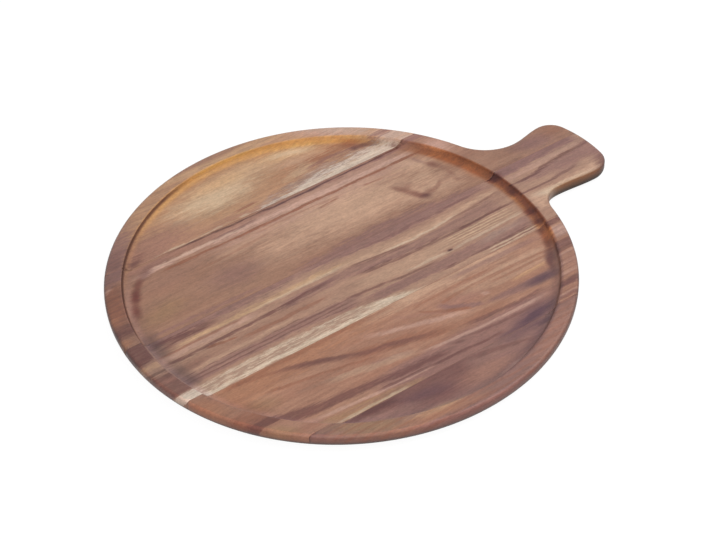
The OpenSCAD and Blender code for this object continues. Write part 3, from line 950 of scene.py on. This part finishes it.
def right_rim(wood):
    """Rim of the flame stave: fine ripples and the dark ends of its stripes."""
    wood.ripples(PINK, [(100, -56), (185, -56)], -128, 9.0, 0.2, (3, 3), 10, 0.4)
    wood.patch(ORANGE, (-160, -68), (26, 14), -60, 0.6)
    wood.band(RUST, [(-175, -80), (-120, -80)], -106, (12, 1.6), 10, 0.7, 0.6)
    wood.band(PLUM, [(-175, -93), (-120, -93)], -106, (8, 1.4), 10, 0.75, 0.6)
    wood.patch(OLIVE, (-132, -115), (18, 7), -42, 0.6)
    wood.line(PLUM, [(140, -56), (180, -55.5)], 2.4, (1.8, 2.6), 6, 0.85)
    wood.patch(PINK, (157, -67), (18, 7), 0, 0.9, 0.7)
    wood.band(PLUM, [(130, -75), (175, -75)], -86, (4, 2), 6, 0.75, 0.7)
    wood.line(PLUM, [(134, -86), (165, -85.5)], 0.8, (2.6, 1.4), 6, 0.55)
    wood.patch(ROSE, (144, -100), (18, 14), 0, 0.6)
    wood.band(PLUM, [(108, -111.5), (155, -111.5)], -120.5, (4, 4), 6, 0.9, 0.6)
    wood.line(PLUM, [(104, -127), (132, -127)], 1.6, (1.6, 1.8), 5, 0.6)
    wood.ripples(PLUM, [(100, -56), (185, -56)], -128, 4.6, 0.0, (3, 3), 10, 0.25)


def right_cap_floor(wood):
    """Near segment with the dark wedge."""
    wood.patch(MAUVE, (-20, -146), (80, 22), 0, 0.6, 0.8)
    wood.patch(TAN, (-88, -146), (32, 9), -32, 0.6)
    wood.band(PLUM, [(-93, -129), (0, -129), (24, -131)],
              [(-93, -131), (-80, -134.5), (-60, -140), (-45, -144.5), (-20, -152), (0, -156), (24, -157)],
              (0.6, 6), 22, 0.68, 0.7)
    wood.patch(SLATE, (-28, -143), (38, 10), -14, 0.55, 0.95)
    wood.patch(OLIVE, (-70, -148), (36, 7), -24, 0.6)
    wood.patch(GOLD, (-30, -158), (30, 4), -8, 0.3)
    wood.line(INK, [(-98, -130.6), (-72, -132), (-42, -133)], 1.6, (1, 5), 16, 0.65, 0.6)
    wood.patch(ROSE, (20, -150), (40, 14), 0, 0.75)
    wood.patch(SLATE, (84, -133.5), (26, 6), -6, 0.7)
    wood.patch(SLATE, (62, -134), (26, 7), 0, 0.6)
    wood.patch(PLUM, (-24, -151), (30, 8), -10, 0.5)
    wood.line(PLUM, [(-94, -131.5), (-70, -135.5), (-45, -142)], 2, (2, 3), 12, 0.45, 0.6)
    wood.patch(PINK, (40, -157.5), (28, 4.4), 10, 0.7)
    wood.patch(MAUVE, (76, -142), (26, 9), -20, 0.8)
    wood.line(PLUM, [(10, -132.5), (30, -134.5), (50, -139), (76, -146.5)], 1.2, (2.4, 3.4), 16, 0.55)
    wood.line(MAUVE, [(18, -139), (40, -144), (62, -151)], 1, (2.4, 3), 14, 0.5)


def right_cap_rim(wood):
    """Rim of the near segment: olive, orange and rose from end to end."""
    wood.patch(ROSE, (84, -150), (64, 14), 30, 0.7)
    wood.patch(OLIVE, (-82, -148), (48, 14), -30, 0.65)
    wood.patch(ORANGE, (-34, -166), (52, 8), -8, 0.65)
    wood.patch(GOLD, (-36, -161), (30, 6), -6, 0.5)
    wood.ripples(RUST, [(-120, -128), (140, -128)], -178, 6.0, 0.0, (3, 3), 20, 0.35)


# Tints over the rim, the well's wall and the outer edge: painted light, shade and reflection, and the
# handle's end grain
# Painted shade at the rim's end away from the handle, over wood that is darker there
LEFT_RIM_DARK_WOOD_AND_SHADE = (0.86, 0.85, 0.88, 1.0)
PLAIN_RIM = (0.98, 0.98, 1.0, 1.0)
# Painted light and sheen on the rim's far side, over paler wood
FAR_RIM_PALE_WOOD_AND_SHEEN = (1.20, 1.19, 1.24, 1.0)
# Painted warm light on the far wall of the well, less at its foot
FAR_FOOT_LIGHT = (1.02, 0.98, 0.90, 1.0)
FAR_WALL_LIGHT = (1.22, 1.05, 0.51, 1.0)
HANDLE_WALL = (2.25, 2.6, 1.35, 1.0)
CUT_BROWN = (0.9, 0.56, 0.34, 1.0)
# Painted shade under the lip at the handle's end
HANDLE_LIP_SHADE = (0.62, 0.48, 0.56, 1.0)
# Painted reflection of the white surroundings on the cove at the end away from the handle
LEFT_COVE_REFLECTION = (1.16, 1.18, 1.34, 1.0)
# Painted shade at the foot of the wall at the end away from the handle
LEFT_FOOT_SHADE = (0.52, 0.50, 0.56, 1.0)
# Painted shade on the lip at the end away from the handle, darkest at its far part, soft elsewhere
LEFT_LIP_SHADE = (0.34, 0.23, 0.18, 1.0)
SOFT_LIP_SHADE = (0.84, 0.82, 0.86, 1.0)
# Painted shade on the near side's cove, and on the wall and lip at the near right
NEAR_COVE_SHADE = (0.92, 0.93, 0.97, 1.0)
NEAR_WALL_SHADE = (0.72, 0.68, 0.75, 1.0)
NEAR_LIP_SHADE = (0.55, 0.49, 0.52, 1.0)
PLAIN = (1.0, 1.0, 1.0, 1.0)
# Painted shade where the outer edge turns down, a painted highlight on its upper round, and painted shade
# darkest near the underside
EDGE_SHADE = (0.62, 0.54, 0.52, 1.0)
EDGE_HIGHLIGHT = (1.28, 1.14, 1.12, 1.0)
HANDLE_EDGE_SHADE = (0.54, 0.34, 0.22, 1.0)
LOW_EDGE_SHADE = (0.22, 0.18, 0.17, 1.0)
LOW_HANDLE_SHADE = (0.10, 0.07, 0.05, 1.0)

# Zones that a tint keeps to. Each row is a measure of the grain frame, where the zone starts, where
# it is full and, if that isn't nothing, what it leaves before its start.
IN_WELL = (("Depth", FLOOR_Z - 5, FLOOR_Z - 1),)
ON_TOP = (("Depth", FLOOR_Z + 1.2, BOARD_T - 0.8),)
ON_RIM = (("Reach", WELL_R - 4, WELL_R + 1),)
RIM_LEFT_END = (("Toward handle", -0.5, -0.9),)
RIM_FAR_SIDE = (("Across", 30, 70), ("Toward handle", 0.1, 0.5))
# Where the painted shade lies along the foot of the wall, and the gap where it is less
FOOT_SHADE_ZONE = (("Across", -42, -32), ("Across", 34, 22, 0.2), ("Toward handle", -0.8, -0.94),
              ("Reach", WELL_R - 20, WELL_R - 10), ("Reach", WELL_R - 2, WELL_R - 5))
SHADE_GAP_ZONE = (("Across", -16, -9), ("Across", 4, -3))
WALL = (("Reach", WELL_R - 11, WELL_R - 5.5),)
WALL_TOP = (("Reach", WELL_R - 7, WELL_R - 3.5),)
LIP = (("Steep", 0.2, 0.5),)
HANDLE_END = (("Toward handle", 0.74, 0.9), ("Across", -84, -64))
LEFT_END = (("Toward handle", -0.2, -0.6), ("Across", 105, 60))
LIP_SHADE_END = (("Toward handle", -0.15, -0.4), ("Across", 5, 45))
FAR_SIDE = (("Across", 20, 80), ("Toward handle", 0.8, 0.6), ("Toward handle", -0.8, -0.2, 0.35))
NEAR_RIGHT = (("Across", -20, -70), ("Toward handle", -0.1, 0.3))
# Span of the painted shade under the lip at the handle's end
LIP_SHADE_SPAN = (("Across", 30, 15), ("Across", -60, -46))
OUTSIDE = (("Reach", WELL_R + 1, WELL_R + 4),)
UPRIGHT = (("Steep", 0.15, 0.5),)
# Where the painted highlight lies on the edge's upper round
HIGHLIGHT_ROUND = (("Steep", 0.02, 0.12), ("Across", 30, -50), ("Toward handle", 0.5, 0))
NEAR_HANDLE = (("Reach", DISC_R + 7, DISC_R + 18), ("Across", -5, -22), ("Along", 248, 238))

# Bounds that move with a zone: where they lie outside it and how far they move inside
BROW_IN = (WELL_R - 1.4, 0.9)
BROW_OUT = (WELL_R + 0.2, 1.4)
TURN_START = (0.04, 0.3)
TURN_FULL = (0.5, 0.25)
LOW_START = (11.0, 1.5)
LOW_FULL = 5.0

# What the gap takes from the painted shade at the wall's foot, and how much cut brown lies over the
# handle's wall
SHADE_GAP_SHARE = 0.6
CUT_SHARE = 0.5


class BoardBench(NodeBench):
    """A bench for one material of the board, with the measures of the grain frame at hand."""

    def __init__(self, tree):
        super().__init__(tree)
        self.place = self.group(GRAIN_FRAME)

    def zone(self, rows):
        """How far a place lies inside a zone, from 0 to 1."""
        return self.product(*[self.ease(self.place[measure], *bounds) for measure, *bounds in rows])

    def moved(self, share, bound):
        """A bound that moves as its zone fills."""
        start, way = bound
        return self.math("MULTIPLY_ADD", share, way, start)

    def tinted(self, share, colour, tint):
        """The colour darkened or lightened by a tint, as far as share says."""
        return self.mix(share, colour, tint, "MULTIPLY")


def shade_rim(bench, colour):
    """Painted shade over darker wood at the end away from the handle, painted light and sheen over paler
    wood at the far side.
    """
    tint = bench.mix(bench.zone(RIM_FAR_SIDE), PLAIN_RIM, FAR_RIM_PALE_WOOD_AND_SHEEN)
    tint = bench.mix(bench.zone(RIM_LEFT_END), tint, LEFT_RIM_DARK_WOOD_AND_SHADE)
    return bench.tinted(1.0, colour, tint)


def shade_wall(bench, well, colour):
    """The well's wall: painted golden light at the far side, painted shade and reflection round the lips
    and ends, dark end grain below the handle.
    """
    # Painted shade at the foot of the wall at the end away from the handle, less across a gap
    shade_gap = bench.moved(bench.zone(SHADE_GAP_ZONE), (1.0, -SHADE_GAP_SHARE))
    foot_shade = bench.product(bench.zone(FOOT_SHADE_ZONE), shade_gap, well)
    colour = bench.tinted(foot_shade, colour, LEFT_FOOT_SHADE)
    wall_top = bench.zone(WALL_TOP)
    lip = bench.zone(LIP)
    left_end = bench.zone(LEFT_END)
    near_right = bench.zone(NEAR_RIGHT)
    # Painted warm light on the far wall
    far_wall_light = bench.mix(wall_top, FAR_FOOT_LIGHT, FAR_WALL_LIGHT)
    tint = bench.mix(bench.zone(FAR_SIDE), NEAR_COVE_SHADE, far_wall_light)
    # Painted reflection on the cove at the end away from the handle
    tint = bench.mix(left_end, tint, LEFT_COVE_REFLECTION)
    # Painted shade on the lips at the end away from the handle
    tint = bench.mix(bench.product(lip, left_end), tint, SOFT_LIP_SHADE)
    tint = bench.mix(bench.product(lip, bench.zone(LIP_SHADE_END)), tint, LEFT_LIP_SHADE)
    # Painted shade inside the lip at the near right
    tint = bench.mix(near_right, tint, bench.mix(lip, NEAR_WALL_SHADE, NEAR_LIP_SHADE))
    cut = bench.mix(CUT_SHARE, bench.tinted(1.0, colour, HANDLE_WALL), CUT_BROWN)
    # Painted shade under the lip at the handle's end
    lip_shade = bench.product(wall_top, bench.zone(LIP_SHADE_SPAN))
    cut = bench.tinted(lip_shade, cut, HANDLE_LIP_SHADE)
    tint = bench.mix(bench.zone(HANDLE_END), tint, cut)
    brow = bench.ease(bench.place["Reach"], bench.moved(near_right, BROW_OUT),
                      bench.moved(near_right, BROW_IN))
    wall = bench.product(bench.zone(WALL), brow, well)
    return bench.tinted(wall, colour, tint)


def shade_edge(bench, colour):
    """The outer edge: a painted highlight on its upper round, painted shade where it turns down, darkest
    near the underside.
    """
    near_handle = bench.zone(NEAR_HANDLE)
    turned = bench.ease(bench.place["Steep"], bench.moved(near_handle, TURN_START),
                        bench.moved(near_handle, TURN_FULL))
    # Painted shade where the edge turns down, deeper on the handle
    edge = bench.mix(turned, PLAIN, bench.mix(near_handle, EDGE_SHADE, HANDLE_EDGE_SHADE))
    # Painted highlight on the upper round
    edge = bench.mix(bench.zone(HIGHLIGHT_ROUND), edge, EDGE_HIGHLIGHT)
    # Painted shade, darkest towards the underside
    low = bench.ease(bench.place["Depth"], bench.moved(near_handle, LOW_START), LOW_FULL)
    low = bench.product(low, bench.zone(UPRIGHT))
    edge = bench.mix(low, edge, bench.mix(near_handle, LOW_EDGE_SHADE, LOW_HANDLE_SHADE))
    return bench.tinted(bench.zone(OUTSIDE), colour, edge)


def surface_material(name):
    """A new material with the bench for its nodes and its surface shader."""
    material = bpy.data.materials.new(name)
    material.use_nodes = True
    return material, BoardBench(material.node_tree), material.node_tree.nodes["Principled BSDF"]


# Finish of the oiled wood: roughness and what the relief adds to it, the gloss from the dry underside
# up to the oiled face with the depths it changes between, and how deep the fibres can be felt
WOOD_ROUGH = 0.40
RELIEF_ROUGH = 0.16
OIL_IOR = 1.46
DRY_GLOSS = 0.04
OIL_GLOSS = 0.5
DRY_DEPTH = 3.0
OIL_DEPTH = 9.5
FIBRE_BUMP = 0.25
FIBRE_HEIGHT = 0.15 * MM


def stave_material(name, ground, mottle, wander, floor_features, rim_features, wall_features, slant, seed):
    """Oiled hardwood of one stave: its figure on the well's floor and on the rim, fibre and finish."""
    material, bench, shader = surface_material(name)
    place = bench.place
    depth = bench.math("ADD", place["Depth"], seed)
    well = bench.zone(IN_WELL)
    faces = []
    for level, features in ((FLOOR_Z, floor_features), (BOARD_T, rim_features)):
        lift = bench.math("SUBTRACT", place["Depth"], level)
        across = bench.math("MULTIPLY_ADD", lift, slant, place["Across"])
        wood = Figure(bench, place["Along"], across, depth, ground, mottle, wander, well)
        features(wood)
        faces.append(wood.colour)
    raised = bench.math("MAXIMUM", bench.zone(ON_TOP), bench.zone(ON_RIM))
    wood.colour = bench.mix(raised, faces[0], shade_rim(bench, faces[1]))
    if wall_features:
        wall_features(wood)
    fibre = bench.group(FIBRE, Along=place["Along"], Across=place["Across"], Depth=depth)
    colour = bench.tinted(1.0, wood.colour, fibre["Tone"])
    colour = shade_wall(bench, well, colour)
    colour = shade_edge(bench, colour)
    bench.feed(shader.inputs["Base Color"], colour)
    rough = bench.math("MULTIPLY_ADD", fibre["Relief"], RELIEF_ROUGH, WOOD_ROUGH)
    bench.feed(shader.inputs["Roughness"], rough)
    gloss = bench.ease(place["Depth"], DRY_DEPTH, OIL_DEPTH, DRY_GLOSS, OIL_GLOSS)
    bench.feed(shader.inputs["Specular IOR Level"], gloss)
    bump = bench.node("ShaderNodeBump")
    bump.inputs["Strength"].default_value = FIBRE_BUMP
    bump.inputs["Distance"].default_value = FIBRE_HEIGHT
    bench.feed(bump.inputs["Height"], fibre["Relief"])
    bench.feed(shader.inputs["Normal"], bump.outputs[0])
    shader.inputs["IOR"].default_value = OIL_IOR
    return material


# Cured glue: its two tones, the scales of its unevenness, roughness and what unevenness adds to it
GLUE_PALE = tone(144, 108, 94)
GLUE_DARK = tone(108, 76, 66)
GLUE_NOISE = (0.12, 1.0, 0.6)
GLUE_ROUGH = 0.42
UNEVEN_ROUGH = 0.2


def glue_material():
    """Cured glue, sanded flush: a thin brown film with a slightly uneven tone."""
    material, bench, shader = surface_material("cured glue")
    place = bench.place
    uneven = bench.noise(place["Along"], place["Across"], place["Depth"], GLUE_NOISE, FINE_DETAIL)
    bench.feed(shader.inputs["Base Color"], bench.mix(uneven, GLUE_PALE, GLUE_DARK))
    rough = bench.math("MULTIPLY_ADD", uneven, UNEVEN_ROUGH, GLUE_ROUGH)
    bench.feed(shader.inputs["Roughness"], rough)
    return material


JOINTS = {"left_cap": LEFT_CAP_JOINT, "left": LEFT_JOINT,
          "right": RIGHT_JOINT, "right_cap": RIGHT_CAP_JOINT}

# Staves from left to right: name, joint on the right, joint on the left, ground, mottle, how far the
# grain wanders, figure of floor, rim and wall, lean of the grain in depth, and a place in the noise
STAVES = (
    ("left_cap", "left_cap", None, tone(184, 146, 117), tone(176, 136, 109),
     1.0, left_cap_floor, left_cap_rim, None, 0.2, 11.0),
    ("left", "left", "left_cap", tone(150, 114, 97), tone(161, 125, 106),
     0.7, left_floor, left_rim, None, 0.6, 43.0),
    ("middle", "right", "left", tone(162, 127, 110), tone(174, 140, 120),
     0.6, middle_floor, middle_rim, middle_wall, 0.8, 77.0),
    ("right", "right_cap", "right", tone(160, 119, 101), tone(170, 131, 111),
     0.45, right_floor, right_rim, right_wall, 0.3, 101.0),
    ("right_cap", None, "right_cap", tone(138, 106, 99), tone(148, 115, 105),
     0.6, right_cap_floor, right_cap_rim, None, 0.4, 139.0),
)


def build_board():
    """The shaped board, sawn into its staves and the glue films between them."""
    board = shape_board()
    half = GLUE_T / 2
    for name, right, left, *wood in STAVES:
        material = stave_material(name.replace("_", " ") + " wood", *wood)
        right_side = None if right is None else JOINTS[right] + half
        left_side = None if left is None else JOINTS[left] - half
        cut_piece(board, name + "_board", right_side, left_side, name + "_stave", material)
    glue = glue_material()
    for name, place in JOINTS.items():
        cut_piece(board, name + "_glue_film", place - half, place + half, name + "_glue_line", glue)
    board.free()


# Studio floor in metres, and the grey of its paper and its own white glow
FLOOR_REACH = 6.0
FLOOR_DROP = 0.0002
PAPER_GREY = 0.13
PAPER_GLOW = 0.93


def seen_directly(bench):
    """One where a ray comes from the camera or from a mirroring surface, else nothing."""
    ray = bench.node("ShaderNodeLightPath").outputs
    return bench.math("MAXIMUM", ray["Is Camera Ray"], ray["Is Glossy Ray"])


def lay_floor():
    """A wide white floor that fades into the surroundings and keeps the board's soft shadow."""
    data = bpy.data.meshes.new("studio_floor")
    corners = [(x * FLOOR_REACH, y * FLOOR_REACH, 0) for x, y in ((-1, -1), (1, -1), (1, 1), (-1, 1))]
    data.from_pydata(corners, [], [(0, 1, 2, 3)])
    floor = bpy.data.objects.new("studio_floor", data)
    floor.location.z = -FLOOR_DROP
    bpy.context.scene.collection.objects.link(floor)
    material = bpy.data.materials.new("studio white")
    material.use_nodes = True
    tree = material.node_tree
    tree.nodes.clear()
    bench = NodeBench(tree)
    paper = bench.node("ShaderNodeBsdfDiffuse")
    paper.inputs["Color"].default_value = (PAPER_GREY, PAPER_GREY, PAPER_GREY, 1)
    glow = bench.node("ShaderNodeEmission")
    glow.inputs["Strength"].default_value = PAPER_GLOW
    seen = seen_directly(bench)
    dark = bench.node("ShaderNodeEmission")
    dark.inputs["Strength"].default_value = 0.0
    lit = bench.fill(bench.node("ShaderNodeMixShader"), seen, dark.outputs[0], glow.outputs[0])
    both = bench.fill(bench.node("ShaderNodeAddShader"), paper.outputs[0], lit)
    bench.feed(bench.node("ShaderNodeOutputMaterial").inputs["Surface"], both)
    data.materials.append(material)


# Light from all around, from low to high with the two heights, and the lamps: name, place, power, size
SKY_LOW = 0.1375
SKY_HIGH = 0.6875
SKY_HEIGHTS = (-0.1, 0.9)
LAMPS = (
    ("soft overhead", (0.8, -0.45, 1.5), 13.0, 1.1),
    ("low front fill", (-0.9, -1.0, 0.75), 7.5, 0.9),
)


def light_studio():
    """White surroundings and two wide soft lamps."""
    world = bpy.data.worlds.new("studio")
    bpy.context.scene.world = world
    world.use_nodes = True
    bench = NodeBench(world.node_tree)
    sky = world.node_tree.nodes["Background"]
    sky.inputs["Color"].default_value = (1, 1, 1, 1)
    seen = seen_directly(bench)
    height = bench.node("ShaderNodeSeparateXYZ")
    bench.feed(height.inputs[0], bench.node("ShaderNodeTexCoord").outputs["Generated"])
    glow = bench.ease(height.outputs[2], *SKY_HEIGHTS, SKY_LOW, SKY_HIGH)
    lit = bench.math("MULTIPLY", glow, bench.math("SUBTRACT", 1.0, seen))
    bench.feed(sky.inputs["Strength"], bench.math("ADD", lit, seen))
    for name, place, power, size in LAMPS:
        lamp = bpy.data.lights.new(name, "AREA")
        lamp.size = size
        lamp.energy = power
        holder = bpy.data.objects.new(name, lamp)
        aim = Vector(place)
        turn = aim.to_track_quat("Z", "Y").to_matrix().to_4x4()
        holder.matrix_world = Matrix.Translation(aim) @ turn
        bpy.context.scene.collection.objects.link(holder)


def set_camera():
    """The photograph's viewing angle, found from the round rim and the handle."""
    azimuth = math.radians(-37.0)
    elevation = math.radians(40.766)
    roll = math.radians(-1.8286)
    distance = 1.42
    target = Vector((0, 0, 0.0063))
    frame_w = 716
    focal = 1888.233
    shift_right = -16.8129
    shift_down = 5.2209
    back = Vector((math.sin(azimuth) * math.cos(elevation),
                   -math.cos(azimuth) * math.cos(elevation), math.sin(elevation)))
    right = Vector((math.cos(azimuth), math.sin(azimuth), 0))
    up = back.cross(right)
    x_axis = right * math.cos(roll) + up * math.sin(roll)
    y_axis = up * math.cos(roll) - right * math.sin(roll)
    turn = Matrix((x_axis, y_axis, back)).transposed().to_4x4()
    camera = bpy.data.cameras.new("photo camera")
    camera.sensor_width = 36.0
    camera.lens = focal / frame_w * camera.sensor_width
    camera.shift_x = -shift_right / frame_w
    camera.shift_y = shift_down / frame_w
    camera.clip_end = 50.0
    holder = bpy.data.objects.new("photo camera", camera)
    holder.matrix_world = Matrix.Translation(target + back * distance) @ turn
    bpy.context.scene.collection.objects.link(holder)
    bpy.context.scene.camera = holder


build_board()
lay_floor()
light_studio()
set_camera()
bpy.context.scene.view_settings.view_transform = "Standard"
